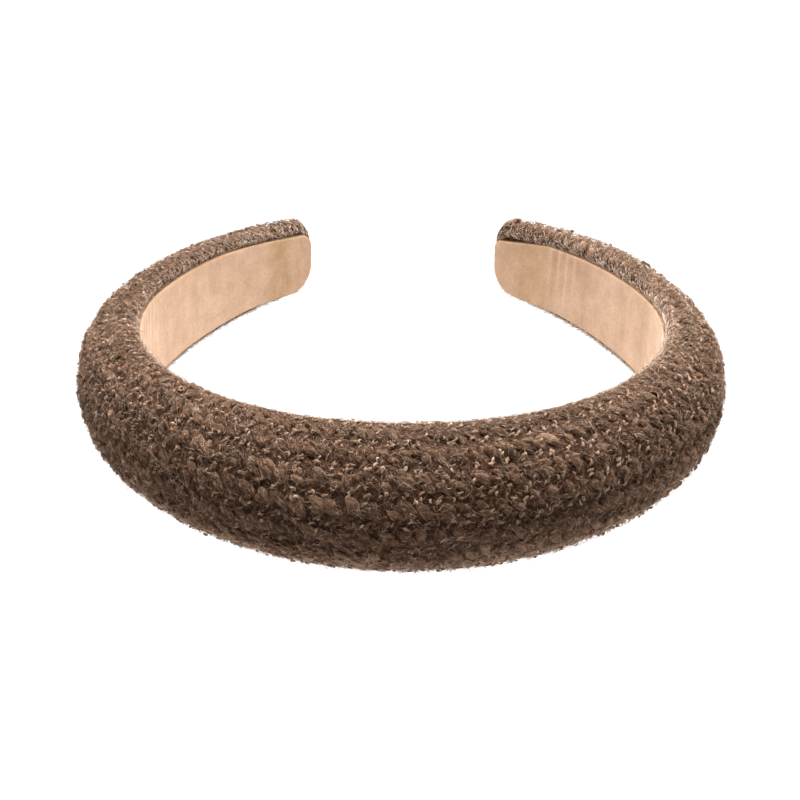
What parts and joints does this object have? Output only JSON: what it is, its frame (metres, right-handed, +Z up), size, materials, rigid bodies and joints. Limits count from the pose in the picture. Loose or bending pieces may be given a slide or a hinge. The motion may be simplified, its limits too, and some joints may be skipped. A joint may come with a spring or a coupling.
{
  "type": "padded headband",
  "caption": "Open horseshoe hairband with a thick domed pad in nubbly tweed and a smooth suede lining, wide at the crown and tapering to rounded tips.",
  "frame": {"origin": "on the surface that the band rests on, under the middle of its box", "axes": "+Z up, along the band's width; -Y towards the crown; +Y towards the open side between the tips; X from tip to tip"},
  "size_m": [0.1498, 0.152, 0.0326],
  "materials": {
    "tweed": "thick brown wool tweed, looped yarns with a fuzzy nap",
    "foam": "soft open-cell padding",
    "suede": "matte tan microsuede with a short nap"
  },
  "bodies": {
    "root": {"fabric_cover": "tweed", "foam_pad": "foam", "lining": "suede"}
  },
  "joints": []
}
